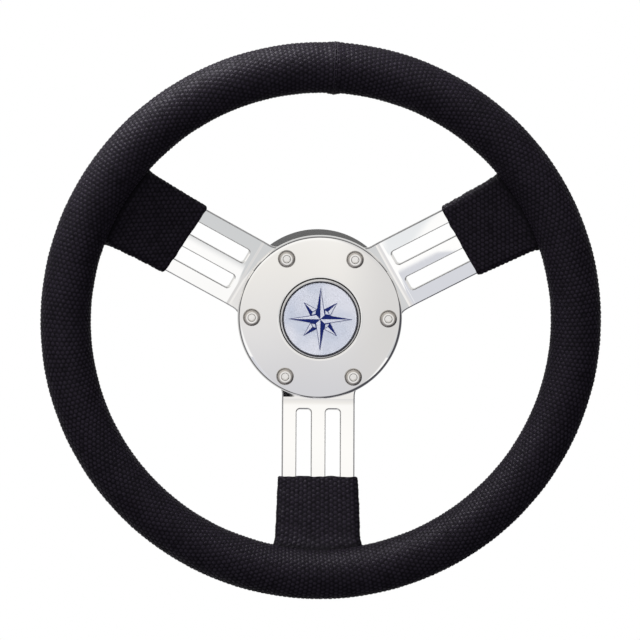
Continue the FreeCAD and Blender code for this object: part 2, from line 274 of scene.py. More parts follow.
def makeThread():
    material, tree, shader = newMaterial("blackThread")
    twist = noiseOn(tree, 1800.0, 2.0, 0.5)
    tree.links.new(rampFrom(tree, twist, 0.5, 0.8), shader["Roughness"])
    tree.links.new(bumpFrom(tree, twist, 0.1 * mm, 0.7), shader["Normal"])
    shader["Base Color"].default_value = (0.012, 0.012, 0.013, 1)
    shader["Sheen Weight"].default_value = 0.2
    return material


def makeSteel(name, colour, roughLow, roughHigh, waviness, grain):
    # Polished stainless steel: a faint buffing grain in the gloss and a very slight waviness
    material, tree, shader = newMaterial(name)
    shader["Metallic"].default_value = 1.0
    waves = noiseOn(tree, 18.0, 0.0, 0.5)
    lines = noiseOn(tree, 420.0, 3.0, 0.6)
    duller = tuple(0.965 * value for value in colour)
    tint = mixColour(tree, rampFrom(tree, waves, 0.0, 1.0, 0.35, 0.65), duller, colour)
    tree.links.new(tint, shader["Base Color"])
    tree.links.new(rampFrom(tree, lines, roughLow, roughHigh, 0.35, 0.65), shader["Roughness"])
    broad = bumpFrom(tree, waves, 0.4 * mm, waviness)
    tree.links.new(bumpFrom(tree, lines, 0.02 * mm, grain, broad), shader["Normal"])
    return material


def makeHubBlack():
    # Satin black coating over a casting
    material, tree, shader = newMaterial("satinBlackCoating")
    cast = noiseOn(tree, 900.0, 4.0, 0.6)
    tint = mixColour(tree, noiseOn(tree, 60.0, 3.0), (0.02, 0.02, 0.021), (0.03, 0.03, 0.031))
    tree.links.new(tint, shader["Base Color"])
    tree.links.new(rampFrom(tree, cast, 0.42, 0.56), shader["Roughness"])
    tree.links.new(bumpFrom(tree, cast, 0.15 * mm, 0.35), shader["Normal"])
    shader["Specular IOR Level"].default_value = 0.25
    return material


def makePearl():
    # The pale face of the emblem: pearl flakes under a clear coat
    material, tree, shader = newMaterial("pearlFace")
    flakes = noiseOn(tree, 2200.0, 2.0, 0.7)
    cloud = rampFrom(tree, noiseOn(tree, 45.0, 2.0), 0.0, 1.0, 0.35, 0.65)
    tree.links.new(mixColour(tree, cloud, (0.56, 0.61, 0.73), (0.735, 0.755, 0.84)), shader["Base Color"])
    tree.links.new(rampFrom(tree, flakes, 0.3, 0.45), shader["Roughness"])
    tree.links.new(bumpFrom(tree, flakes, 0.02 * mm, 0.2), shader["Normal"])
    shader["Metallic"].default_value = 0.15
    shader["Coat Weight"].default_value = 0.6
    shader["Coat Roughness"].default_value = 0.08
    return material


def makePrint(name, dark, light, metallic):
    material, tree, shader = newMaterial(name)
    speckle = noiseOn(tree, 900.0, 3.0, 0.6)
    tree.links.new(mixColour(tree, rampFrom(tree, speckle, 0.0, 1.0, 0.3, 0.7), dark, light), shader["Base Color"])
    tree.links.new(rampFrom(tree, speckle, 0.28, 0.42), shader["Roughness"])
    shader["Metallic"].default_value = metallic
    shader["Specular IOR Level"].default_value = 0.12
    return material


def makePlain(name, shade, rough, depth):
    material, tree, shader = newMaterial(name)
    grain = noiseOn(tree, 700.0)
    tree.links.new(mixColour(tree, grain, tuple(0.8 * value for value in shade), shade), shader["Base Color"])
    tree.links.new(rampFrom(tree, grain, rough - 0.08, rough + 0.08), shader["Roughness"])
    tree.links.new(bumpFrom(tree, grain, depth, 0.5), shader["Normal"])
    return material


leather = makeLeather()
thread = makeThread()
polishedSteel = makeSteel("polishedSteel", (0.9, 0.895, 0.885), 0.006, 0.013, 0.005, 0.002)
edgeSteel = makeSteel("tumbledSteelEdge", (0.9, 0.895, 0.885), 0.3, 0.42, 0.05, 0.1)
# Screw steel in two copies: a darker one painted with shade for the flanks, and a bright one painted with a highlight
# for the faces turned to the driver
screwShadedSteel = makeSteel("screwSteelPaintedShade", (0.52, 0.49, 0.455), 0.3, 0.42, 0.1, 0.12)
screwPaintedHighlight = makeSteel("screwFacePaintedHighlight", (0.92, 0.91, 0.89), 0.16, 0.26, 0.1, 0.12)
# Dark metal for the lip's inner slope down into the recess: painted shade
bezelRecessShade = makeSteel("bezelRecessPaintedShade", (0.12, 0.12, 0.14), 0.2, 0.3, 0.05, 0.12)
bezelMetal = makeSteel("bezelMetal", (0.66, 0.66, 0.67), 0.1, 0.16, 0.05, 0.12)
hubBlack = makeHubBlack()
pearl = makePearl()
navyPrint = makePrint("navyPrint", (0.006, 0.013, 0.11), (0.010, 0.021, 0.15), 0.0)
palePrint = makePrint("palePrint", (0.64, 0.67, 0.77), (0.7, 0.72, 0.81), 0.1)
foamBlack = makePlain("foamBlack", (0.03, 0.03, 0.03), 0.85, 0.3 * mm)
rubberBlack = makePlain("rubberBlack", (0.02, 0.02, 0.02), 0.6, 0.1 * mm)
spacerGrey = makePlain("spacerGrey", (0.25, 0.25, 0.25), 0.55, 0.1 * mm)
barSteel = makePlain("barSteel", (0.4, 0.4, 0.39), 0.4, 0.1 * mm)
print("materials made")


# Leather: a flat sheet of hexagonal pillows is laid out, then wrapped

pillow = {
    "groove": 0.29,        # share of the pitch that slopes down, all round the pillow
    "height": 0.5 * mm,
    "uneven": 0.12,
    "rowStep": math.sqrt(3) / 2,
}


def layPillows(name, across, rows):
    # Pitch units: pillows 1 apart along X, rows rowStep apart along Y, every second row shifted by half
    deselectAll()
    bpy.ops.mesh.primitive_circle_add(vertices=6, radius=1 / math.sqrt(3), fill_type="NGON")
    first = latest(name)
    startEdit(first)
    bpy.ops.mesh.inset(thickness=pillow["groove"], depth=1.0)
    stopEdit()
    second = copyPiece(first, name + "Next")
    second.location = (0.5, pillow["rowStep"], 0)
    sheet = joinAll([first, second], name)
    steps = ((across, (1, 0, 0)), (rows // 2, (0, 2 * pillow["rowStep"], 0)))
    for count, step in steps:
        applyModifier(sheet, "ARRAY", count=count, use_relative_offset=False,
                      use_constant_offset=True, constant_offset_displace=step)
    return sheet


def markRaised(sheet):
    # 1 on the top of a pillow and 0 in the grooves; then no two pillows stay alike
    flat = points(sheet)
    setLevel(sheet, np.clip(flat[:, 2], 0, 1))
    flat[:, 2] *= 1 + pillow["uneven"] * np.random.default_rng(7).standard_normal(len(flat))
    movePoints(sheet, flat)


def cutAt(sheet, place, normal):
    startEdit(sheet)
    bpy.ops.mesh.bisect(plane_co=place, plane_no=normal, clear_outer=True)
    stopEdit()


def softNoise(a, b, seed):
    # A few slow waves that never line up, from -1 to 1
    total = np.zeros_like(a)
    for index in range(4):
        fa = 1 + (seed * 7 + index * 3) % 5
        fb = 1 + (seed * 5 + index * 2) % 4
        phase = seed * 1.7 + index * 2.3
        total += np.sin(fa * a + fb * b + phase) / 4
    return total


rim = {
    "pillowsAround": 32,
    "rows": 384,
    "drift": 0.055,          # slow twist of the pattern round the tube, in radians
    "seamAngle": math.radians(87.8),
    "seamFlat": 0.9 * mm,
    "seamReach": 4.0 * mm,
    "seamSwell": 0.6 * mm,
    "seamPress": 0.8,        # how much the seam flattens the pillows beside it
    "sway": 0.0035,
    "reliefUneven": 0.16,
    "lumps": 0.1 * mm,
}


def ringPlace(ringAngle, tubeAngle, height):
    # Out from the middle of the rim: height is the distance from the tube's centre line
    reach = rimRadius + height * np.cos(tubeAngle)
    depth = rimPlane - height * np.sin(tubeAngle)
    return np.stack([reach * np.cos(ringAngle), depth, reach * np.sin(ringAngle)], 1)


def seamSwell(offset, tubeAngle):
    # The cover is thicker for a little way to either side of the seam, most of all inside the ring
    return rim["seamSwell"] * (1 - 0.3 * np.cos(tubeAngle)) * np.exp(-(offset / rim["seamReach"]) ** 4)


def makeRimLeather():
    sheet = layPillows("rimLeather", rim["pillowsAround"], rim["rows"])
    markRaised(sheet)
    flat = points(sheet)
    ringAngle = 2 * np.pi * flat[:, 1] / (rim["rows"] * pillow["rowStep"])
    tubeAngle = -2 * np.pi * flat[:, 0] / rim["pillowsAround"]
    tubeAngle = tubeAngle + rim["drift"] * np.sin(3 * ringAngle + 0.6) + 0.5 * rim["drift"] * np.sin(7 * ringAngle)
    ringShift = rim["sway"] * np.sin(2 * tubeAngle + 5 * ringAngle)
    relief = 1 + rim["reliefUneven"] * softNoise(9 * ringAngle, tubeAngle, 2)
    offSeam = (ringAngle - rim["seamAngle"] + np.pi) % (2 * np.pi) - np.pi
    relief = relief * (1 - rim["seamPress"] * np.exp(-(offSeam * rimRadius / rim["seamFlat"]) ** 4))
    height = gripRadius - pillow["height"] + flat[:, 2] * pillow["height"] * relief
    height = height + seamSwell(offSeam * rimRadius, tubeAngle)
    height = height + rim["lumps"] * softNoise(6 * ringAngle, tubeAngle, 3)
    movePoints(sheet, ringPlace(ringAngle + ringShift, tubeAngle, height))
    weld(sheet)
    smooth(sheet, 75)
    finishPiece(sheet, leather, ["rim_cover"])


sleeve = {
    "root": 150.2 * mm,
    "halfWidth": 24.75 * mm,
    "halfDepth": 4.3 * mm,
    "swell": 2.1 * mm,
    "flareFrom": 135.5 * mm,
    "flareWidth": 8.6 * mm,
    "flareDepth": 4.8 * mm,
    "crown": 0.5 * mm,
    "slitWidth": 23.1 * mm,
    "slitDepth": 2.12 * mm,
    "pitch": 3.0 * mm,
    "slope": math.radians(17.07),
    "barPlaces": (-18.4 * mm, 0.0, 18.4 * mm),
    "barHalf": 4.4 * mm,
    "tuck": 0.6 * mm,
    "tuckReach": 2.4 * mm,
    "deeper": 0.25 * mm,
    "crownReach": 9 * mm,
    "hemEdge": 0.35 * mm,
    "hemPress": 0.45,        # how much the hem flattens its pillows
    "uneven": 0.22 * mm,
    "reliefUneven": 0.2,
    "edgeUneven": 0.3 * mm,
    "pullReach": 2.5 * mm,
    "skewReach": 25 * mm,
}
# What differs from sleeve to sleeve: rowsAcross where rows of pillows run across the arm, pull where the
# leather draws back over the bars, hem where the folded edge shows as a flatter band, skew where the end
# isn't square to the arm
sleeveEnds = {
    "right": {"start": 101.4 * mm, "rowsAcross": False, "pull": 0.3 * mm, "hem": 2.0 * mm,
              "skew": 0.0, "wider": 0.2 * mm, "seed": 1},
    "left": {"start": 99.6 * mm, "rowsAcross": True, "pull": 0.4 * mm, "hem": 7.0 * mm,
             "skew": 1.4 * mm, "wider": 0.1 * mm, "seed": 4},
    "lower": {"start": 100.9 * mm, "rowsAcross": False, "pull": 1.3 * mm, "hem": 1.5 * mm,
              "skew": 0.0, "wider": 0.7 * mm, "seed": 2},
}
# Where the turned-in end goes, ring by ring: along the arm from the sleeve's end, and how far in to the slit
turnIn = ((-0.45 * mm, 0.08), (-0.7 * mm, 0.3), (-0.62 * mm, 0.62), (-0.2 * mm, 0.92), (0.8 * mm, 1.0), (44 * mm, 1.0))


def stadium(share, halfWidth, halfDepth):
    # A point on a flat oval, going round from the middle of its back: across, out to the front, and normal
    straight = halfWidth - halfDepth
    quarter = straight + np.pi * halfDepth / 2
    run = np.mod(share, 1.0) * 4 * quarter
    mirrored = run > 2 * quarter
    run = np.where(mirrored, 4 * quarter - run, run)
    turn = np.clip((run - straight) / halfDepth, 0, np.pi)
    side = np.where(run < straight, run, np.where(run > straight + np.pi * halfDepth, 2 * quarter - run, straight))
    across = side + halfDepth * np.sin(turn)
    front = -halfDepth * np.cos(turn)
    sign = np.where(mirrored, -1.0, 1.0)
    return across * sign, front, np.sin(turn) * sign, -np.cos(turn)


def flare(along):
    return np.clip((along - sleeve["flareFrom"]) / (sleeve["root"] - sleeve["flareFrom"]), 0, 1)


def sleeveSize(along, start):
    run = np.clip((along - start) / (sleeve["root"] - start), 0, 1)
    halfWidth = sleeve["halfWidth"] + sleeve["swell"] * run + sleeve["flareWidth"] * flare(along) ** 2.2
    halfDepth = sleeve["halfDepth"] + sleeve["deeper"] * run + sleeve["flareDepth"] * flare(along) ** 1.8
    return halfWidth, halfDepth


def armPlace(angle, along, across, front):
    # A place on an arm: along the plan radius, across the arm, and out in front of its sloping middle
    slope = sleeve["slope"]
    out = Vector((math.cos(angle), 0, math.sin(angle)))
    side = Vector((-math.sin(angle), 0, math.cos(angle)))
    faceNormal = Vector((-math.sin(slope) * out.x, -math.cos(slope), -math.sin(slope) * out.z))
    base = np.outer(along, out) + np.outer(across, side) + np.outer(front, faceNormal)
    base[:, 1] += rimPlane - (along - rimRadius) * math.tan(slope)
    return base


def makeSleeve(side):
    name = "sleeveLeather" + side.capitalize()
    end = sleeveEnds[side]
    length = (sleeve["root"] - end["start"]) / math.cos(sleeve["slope"])
    if end["rowsAcross"]:
        around, endAxis = 36, 1
        rows = 2 * math.ceil(length / (2 * sleeve["pitch"] * pillow["rowStep"])) + 4
        sheet = layPillows(name, around, rows)
    else:
        around, endAxis = 42, 0
        sheet = layPillows(name, math.ceil(length / sleeve["pitch"]) + 3, around)
    low = Vector((0, 0, 0))
    low[endAxis] = 1.0
    high = Vector((0, 0, 0))
    high[endAxis] = low[endAxis] + length / sleeve["pitch"]
    axis = Vector((0, 0, 0))
    axis[endAxis] = 1.0
    cutAt(sheet, low, -axis)
    cutAt(sheet, high, axis)
    markRaised(sheet)
    for ring in range(len(turnIn)):
        growEdge(sheet, endAxis, low[endAxis] - ring, -1.0)
    flat = points(sheet)
    along = (flat[:, endAxis] - low[endAxis]) * sleeve["pitch"]
    girth = flat[:, 1 - endAxis] / (around * (1 if end["rowsAcross"] else pillow["rowStep"]))
    movePoints(sheet, wrapSleeve(along, girth, flat[:, 2], math.radians(sleeveAngles[side]), end))
    # Where the sleeve goes under the rim's cover its leather is set to the groove colour: painted shade in the crease
    raised = np.empty(len(flat))
    sheet.data.attributes["raised"].data.foreach_get("value", raised)
    setLevel(sheet, raised * (1 - tuckPressAndShade(points(sheet))))
    weld(sheet)
    closeRoot(sheet)
    smooth(sheet, 75)
    finishPiece(sheet, leather, ["spoke_cover_" + side])


def growEdge(sheet, axis, place, step):
    # Extrudes the straight cut edge of the flat sheet by one ring
    startEdit(sheet, "DESELECT")
    stopEdit()
    for edge in sheet.data.edges:
        ends = [sheet.data.vertices[index].co[axis] for index in edge.vertices]
        edge.select = all(abs(end - place) < 0.0005 for end in ends)
    bpy.ops.object.mode_set(mode="EDIT")
    move = [0.0, 0.0, 0.0]
    move[axis] = step
    bpy.ops.mesh.select_mode(type="EDGE")
    bpy.ops.mesh.extrude_region_move(TRANSFORM_OT_translate={"value": move})
    bpy.ops.mesh.select_mode(type="VERT")
    stopEdit()


def overBars(across, front):
    # 1 where the hem lies on a bar of the arm, and 0 over the slots and at the sides
    near = np.zeros_like(across)
    for place in sleeve["barPlaces"]:
        near = np.maximum(near, np.exp(-((across - place) / sleeve["barHalf"]) ** 6))
    return near * np.clip(np.abs(front) / sleeve["halfDepth"], 0, 1) ** 4


def tuckPressAndShade(spot):
    # 1 where a sleeve goes under the rim's cover, which presses it flat there; the same weight also darkens the
    # leather there, painted shade in the crease
    away = np.hypot(np.hypot(spot[:, 0], spot[:, 2]) - rimRadius, spot[:, 1] - rimPlane) - gripRadius
    return np.exp(-(away / sleeve["tuckReach"]) ** 2)


def wrapSleeve(along, girth, level, angle, end):
    seed = end["seed"]
    ringIndex = np.clip(np.round(-along / sleeve["pitch"]), 0, len(turnIn)).astype(int)
    turned = np.array([0.0] + [step for step, inward in turnIn])[ringIndex]
    inward = np.array([0.0] + [inward for step, inward in turnIn])[ringIndex]
    run = np.where(along > 0, along, 0.0)
    place = end["start"] + run * math.cos(sleeve["slope"])
    halfWidth, halfDepth = sleeveSize(place, end["start"])
    halfWidth = halfWidth + end["wider"]
    across, front, normalAcross, normalFront = stadium(girth, halfWidth, halfDepth)
    slitAcross, slitFront, _, _ = stadium(girth, sleeve["slitWidth"], sleeve["slitDepth"])
    crown = sleeve["crown"] * np.clip(1 - (across / halfWidth) ** 2, 0, 1) * np.clip(run / sleeve["crownReach"], 0, 1)
    hemStep = 1 / (1 + np.exp((run - end["hem"]) / sleeve["hemEdge"]))
    uneven = sleeve["uneven"] * softNoise(2 * np.pi * girth, place * 190, seed)
    relief = pillow["height"] * (1 + sleeve["reliefUneven"] * softNoise(place * 300, 4 * np.pi * girth, seed + 1))
    relief = relief * (1 - sleeve["hemPress"] * hemStep)
    hemLift = 0.05 * end["hem"]
    lift = level * relief - pillow["height"] + hemLift * hemStep + crown + uneven
    lift = np.where(ringIndex > 0, hemLift - pillow["height"], lift)
    across = across + lift * normalAcross
    front = front + lift * normalFront
    across = across + (slitAcross - across) * inward
    front = front + (slitFront - front) * inward
    back = end["pull"] * overBars(across, front)
    back = back + sleeve["edgeUneven"] * softNoise(6 * np.pi * girth, run * 60, seed + 3)
    skew = end["skew"] * across / halfWidth * np.exp(-run / sleeve["skewReach"])
    back = (back * np.exp(-run / sleeve["pullReach"]) + skew) * np.where(inward < 1, 1, 0)
    place = place + turned * math.cos(sleeve["slope"]) + back
    pressed = tuckPressAndShade(armPlace(angle, place, across, front))
    return armPlace(angle, place, across, front - normalFront ** 3 * sleeve["tuck"] * pressed * (inward == 0))


def closeRoot(sheet):
    # Joins the outer skin to the slit's inner end, out of sight inside the rim
    startEdit(sheet, "DESELECT")
    bpy.ops.mesh.select_mode(type="EDGE")
    bpy.ops.mesh.select_non_manifold()
    bpy.ops.mesh.bridge_edge_loops()
    bpy.ops.mesh.select_all(action="SELECT")
    bpy.ops.mesh.normals_make_consistent(inside=False)
    bpy.ops.mesh.select_mode(type="VERT")
    stopEdit()


makeRimLeather()
for side in sleeveEnds:
    makeSleeve(side)
print("leather wrapped")


# Rim seam: two folded lips round the tube, with ladder stitches across them

seam = {
    "lipWidth": 0.42 * mm,
    "lipHeight": 0.4 * mm,
    "gap": 0.18 * mm,
    "steps": 96,
    "stitches": 22,
    "stitchLength": 1.1 * mm,
    "stitchWidth": 0.2 * mm,
}


def seamPlace(offset, tubeAngle, height):
    ringAngle = np.full_like(tubeAngle, rim["seamAngle"]) + offset / rimRadius
    return ringPlace(ringAngle, tubeAngle, height)


def makeSeamLip(side):
    # A torus primitive is pressed flat and laid round the tube beside the seam
    deselectAll()
    bpy.ops.mesh.primitive_torus_add(major_segments=seam["steps"], minor_segments=10,
                                     major_radius=gripRadius, minor_radius=1.0 * mm)
    lip = latest("seamLip" + ("Left" if side > 0 else "Right"))
    spot = points(lip)
    tubeAngle = np.arctan2(spot[:, 1], spot[:, 0])
    outward = np.hypot(spot[:, 0], spot[:, 1]) - gripRadius
    offset = side * (seam["gap"] + seam["lipWidth"]) + spot[:, 2] * seam["lipWidth"] / mm
    offset = offset + 0.1 * mm * np.sin(5 * tubeAngle + side)
    height = gripRadius + seamSwell(0.0, tubeAngle) - 0.2 * mm + 0.08 * mm * side + outward * seam["lipHeight"] / mm
    movePoints(lip, seamPlace(offset, tubeAngle, height))
    weld(lip)
    smooth(lip, 60)
    setLevel(lip, np.full(len(lip.data.vertices), 0.8))
    finishPiece(lip, leather)


def makeStitch(length, width):
    # One tight stitch, with both ends sunk into the leather
    deselectAll()
    bpy.ops.mesh.primitive_uv_sphere_add(segments=8, ring_count=6, radius=1.0)
    stitch = latest("stitch")
    spot = points(stitch)
    bend = 0.35 * (1 - spot[:, 2] ** 2)
    shaped = np.stack([spot[:, 2] * length / 2, spot[:, 1] * width, spot[:, 0] * width + bend * width], 1)
    movePoints(stitch, shaped)
    return stitch


def placeAlong(stitch, places, name):
    # places holds, for each copy, where it goes, the way it runs and the way it faces
    copies = []
    for index, (where, run, face) in enumerate(places):
        run = run.normalized()
        face = (face - face.dot(run) * run).normalized()
        copy = copyPiece(stitch, name + str(index))
        copy.matrix_world = frameAt(where, run, face.cross(run), face)
        copies.append(copy)
    bpy.data.objects.remove(stitch)
    row = joinAll(copies, name)
    weld(row, 0.000001)
    smooth(row, 60)
    finishPiece(row, thread)


def makeSeamStitches():
    places = []
    angles = 2 * np.pi * (np.arange(seam["stitches"]) + 0.5) / seam["stitches"]
    for index, tubeAngle in enumerate(angles):
        spot = np.array([tubeAngle])
        height = gripRadius + seamSwell(0.0, spot) - 0.05 * mm
        where = Vector(seamPlace(0.0, spot, height)[0])
        ahead = Vector(seamPlace(0.5 * mm, spot + (0.012 if index % 2 else -0.012), height)[0])
        core = Vector(seamPlace(0.0, spot, 0.0)[0])
        places.append((where, ahead - where, where - core))
    placeAlong(makeStitch(seam["stitchLength"], seam["stitchWidth"]), places, "seamStitches")


makeSeamLip(-1)
makeSeamLip(1)
makeSeamStitches()


# Closing seams on the side away from the driver: round the inside of the rim and down each sleeve

backSeam = {
    "tubeAngle": math.radians(215.0),
    "spacing": 5.2 * mm,
    "length": 4.6 * mm,
    "width": 0.42 * mm,
    "ridgeWidth": 0.8 * mm,
    "lean": 0.35,
    "armGap": 11.5,          # degrees to either side of an arm without stitches
    "wave": 0.015,
    "lift": 0.25 * mm,
    "sleeveFrom": 2.2 * mm,
    "sleeveEnd": 7 * mm,
}


def makeRimBackSeam():
    # The cover's two long edges meet in a low ridge, laced with slanting stitches
    deselectAll()
    bpy.ops.mesh.primitive_torus_add(major_segments=288, minor_segments=8,
                                     major_radius=rimRadius, minor_radius=1.0 * mm)
    ridge = latest("rimBackRidge")
    spot = points(ridge)
    ringAngle = np.arctan2(spot[:, 1], spot[:, 0])
    outward = (np.hypot(spot[:, 0], spot[:, 1]) - rimRadius) / mm
    sideways = spot[:, 2] / mm
    tubeAngle = backSeam["tubeAngle"] + sideways * backSeam["ridgeWidth"] / gripRadius
    tubeAngle = tubeAngle + backSeam["wave"] * np.sin(11 * ringAngle)
    height = gripRadius - 0.3 * mm + outward * 0.55 * mm
    movePoints(ridge, ringPlace(ringAngle, tubeAngle, height))
    weld(ridge)
    smooth(ridge, 60)
    setLevel(ridge, np.full(len(ridge.data.vertices), 0.7))
    finishPiece(ridge, leather)
    innerRadius = rimRadius + gripRadius * math.cos(backSeam["tubeAngle"])
    count = round(2 * math.pi * innerRadius / backSeam["spacing"])
    places = []
    for index in range(count):
        ringAngle = 2 * math.pi * (index + 0.5) / count
        fromArms = [abs((math.degrees(ringAngle) - arm + 180) % 360 - 180) for arm in sleeveAngles.values()]
        if min(fromArms) < backSeam["armGap"]:
            continue
        here = np.array([ringAngle])
        tube = np.array([backSeam["tubeAngle"] + backSeam["wave"] * math.sin(11 * ringAngle)])
        where = Vector(ringPlace(here, tube, gripRadius + backSeam["lift"])[0])
        lean = 0.004 * rimRadius / gripRadius / backSeam["lean"]
        ahead = Vector(ringPlace(here + 0.004, tube + lean, gripRadius + backSeam["lift"])[0])
        core = Vector(ringPlace(here, tube, 0.0)[0])
        places.append((where, ahead - where, where - core))
    placeAlong(makeStitch(backSeam["length"], backSeam["width"]), places, "rimBackStitches")


def makeSleeveBackSeam(side):
    angle = math.radians(sleeveAngles[side])
    start = sleeveEnds[side]["start"]
    places = []
    count = int((sleeve["root"] - start - backSeam["sleeveEnd"]) / backSeam["spacing"])
    for index in range(count):
        along = start + backSeam["sleeveFrom"] + index * backSeam["spacing"]
        halfWidth, halfDepth = sleeveSize(np.array([along]), start)
        front = -(halfDepth[0] + sleeve["crown"] * min(1.0, (along - start) / sleeve["crownReach"]) + 0.02 * mm)
        lean = 1.0 if index % 2 else -1.0
        where = Vector(armPlace(angle, np.array([along]), np.array([0.0]), np.array([front]))[0])
        ahead = Vector(armPlace(angle, np.array([along + 1 * mm]), np.array([lean * 0.9 * mm]), np.array([front]))[0])
        core = Vector(armPlace(angle, np.array([along]), np.array([0.0]), np.array([0.0]))[0])
        places.append((where, ahead - where, where - core))
    name = "sleeveStitches" + side.capitalize()
    placeAlong(makeStitch(backSeam["length"], backSeam["width"]), places, name)


makeRimBackSeam()
for side in sleeveAngles:
    makeSleeveBackSeam(side)
print("seams sewn")


# Turned and polished parts: a circle is drawn out station by station along the wheel's axis

def turnOnAxis(name, stations, steps=192):
    # stations are (radius, y); the last joins the first
    radius, depth = stations[0]
    deselectAll()
    bpy.ops.mesh.primitive_circle_add(vertices=steps, radius=radius, location=(0, depth, 0),
                                      rotation=(math.pi / 2, 0, 0))
    bpy.ops.object.transform_apply(location=True, rotation=True, scale=True)
    piece = latest(name)
    startEdit(piece)
    for nextRadius, nextDepth in list(stations[1:]) + [stations[0]]:
        bpy.ops.mesh.extrude_region_move(TRANSFORM_OT_translate={"value": (0, nextDepth - depth, 0)})
        scale = nextRadius / radius
        bpy.ops.transform.resize(value=(scale, 1, scale), center_override=(0, nextDepth, 0))
        radius, depth = nextRadius, nextDepth
    stopEdit()
    weld(piece, 0.000004)
    return piece


def arcStations(centre, radius, start, end, count):
    # A fillet in the (radius, y) plane, angles in degrees from the outward direction towards the driver
    stations = []
    for index in range(count + 1):
        turn = math.radians(start + (end - start) * index / count)
        stations.append((centre[0] + radius * math.cos(turn), centre[1] - radius * math.sin(turn)))
    return stations


plate = {
    "wall": 2.5 * mm,
    "edgeHeight": 5.2 * mm,
    "rise": 4.3 * mm,
    "edgeRound": 2.8 * mm,
    "holeRound": 0.35 * mm,
    "holeRadius": 25.6 * mm,
    "rings": 22,
    "screwCircle": 43.0 * mm,
    "screwHole": 3.3 * mm,
    "seatRadius": 5.53 * mm,
    "screws": 6,
    "screwLength": 25.0 * mm,
    "drillReach": 12 * mm,
}
plateBack = plateHigh.y
domeRadius = (plateRadius ** 2 + plate["rise"] ** 2) / (2 * plate["rise"])
domeCentre = plateBack - plate["edgeHeight"] - plate["rise"] + domeRadius
seatDepth = screwHigh.y - plate["screwLength"]


def domeDepth(radius, below=0.0):
    return domeCentre - math.sqrt((domeRadius - below) ** 2 - radius ** 2)


def cutRound(piece, where, radius, low, high):
    # Drills a round hole along Y
    deselectAll()
    middle = (where[0], (low + high) / 2, where[1])
    bpy.ops.mesh.primitive_cylinder_add(vertices=64, radius=radius, depth=high - low, location=middle,
                                        rotation=(math.pi / 2, 0, 0))
    drill = latest("drill")
    applyModifier(piece, "BOOLEAN", operation="DIFFERENCE", solver="EXACT", object=drill)
    bpy.data.objects.remove(drill)


def screwPlaces():
    for index in range(plate["screws"]):
        turn = 2 * math.pi * index / plate["screws"]
        yield turn, plate["screwCircle"] * math.cos(turn), plate["screwCircle"] * math.sin(turn)


def makeCapPlate():
    edge = plate["edgeRound"]
    hole = plate["holeRadius"]
    # The fillet's centre lies one radius inside the rim and under the dome
    centreRadius = plateRadius - edge
    centreDepth = domeDepth(centreRadius, edge)
    lean = math.degrees(math.atan2(math.sqrt((domeRadius - edge) ** 2 - centreRadius ** 2), centreRadius))
    stations = [(hole, domeDepth(hole) + plate["wall"]), (hole, domeDepth(hole) + plate["holeRound"])]
    stations += [(hole + 0.1 * mm, domeDepth(hole) + 0.1 * mm)]
    topStart = hole + plate["holeRound"]
    topEnd = centreRadius + edge * math.cos(math.radians(lean))
    for index in range(plate["rings"]):
        radius = topStart + (topEnd - topStart) * index / plate["rings"]
        stations.append((radius, domeDepth(radius)))
    stations += arcStations((centreRadius, centreDepth), edge, lean, 0, 10)
    stations += [(plateRadius, plateBack + 0.02 * mm - 0.3 * mm), (plateRadius - 0.25 * mm, plateBack)]
    inner = plateRadius - plate["wall"]
    stations += [(inner, plateBack), (inner, domeDepth(inner, plate["wall"]))]
    for index in range(1, 6):
        radius = inner + (hole - inner) * index / 6
        stations.append((radius, domeDepth(radius, plate["wall"])))
    piece = turnOnAxis("capPlatePolished", stations)
    for _, x, z in screwPlaces():
        cutRound(piece, (x, z), plate["screwHole"], plateBack - plate["drillReach"], plateBack + 1 * mm)
        cutRound(piece, (x, z), plate["seatRadius"], plateBack - plate["drillReach"], seatDepth)
    smooth(piece, 32)
    finishPiece(piece, polishedSteel, ["cap_plate"])


screw = {
    "headRadius": 5.5 * mm,
    "headHeight": 3.3 * mm,
    "flatRadius": 3.7 * mm,
    "edge": 0.45 * mm,
    "shank": 3.0 * mm,
    "socketWide": 3.8 * mm,
    "socketDeep": 1.9 * mm,
    "bulge": 0.75 * mm,
    "sinkRadius": 2.55 * mm,
    "sinkDepth": 0.35 * mm,
    "tipBevel": 0.6 * mm,
    "highlightFacing": 0.985,   # faces turned this far to the driver get the painted highlight
    "highlightBelow": 2.3 * mm,
}


def makeScrew():
    # Turned standing on the axis, then the hexagon socket is cut and the piece is set out six times
    top = seatDepth - screw["headHeight"]
    stations = [(0.001 * mm, screwHigh.y), (screw["shank"] - screw["tipBevel"], screwHigh.y)]
    stations += [(screw["shank"], screwHigh.y - screw["tipBevel"]), (screw["shank"], seatDepth)]
    stations += [(screw["headRadius"] - 0.1 * mm, seatDepth), (screw["headRadius"], seatDepth - 0.12 * mm)]
    low = Vector((screw["headRadius"], seatDepth - screw["edge"]))
    high = Vector((screw["flatRadius"], top))
    chord = high - low
    outward = Vector((-chord.y, chord.x)).normalized()
    for index in range(9):
        share = index / 8
        spot = low + chord * share + outward * screw["bulge"] * 4 * share * (1 - share)
        stations.append((spot.x, spot.y))
    sink = screw["sinkRadius"]
    stations += [(screw["flatRadius"] - 0.15 * mm, top - 0.03 * mm), (sink, top - 0.03 * mm)]
    stations += [(sink - screw["sinkDepth"], top + screw["sinkDepth"]), (0.001 * mm, top + screw["sinkDepth"])]
    piece = turnOnAxis("screwMaster", stations, 48)
    deselectAll()
    bpy.ops.mesh.primitive_cylinder_add(vertices=6, radius=screw["socketWide"] / math.sqrt(3),
                                        depth=screw["socketDeep"] * 2, location=(0, top, 0),
                                        rotation=(math.pi / 2, 0, 0))
    key = latest("key")
    applyModifier(piece, "BOOLEAN", operation="DIFFERENCE", solver="EXACT", object=key)
    bpy.data.objects.remove(key)
    return piece


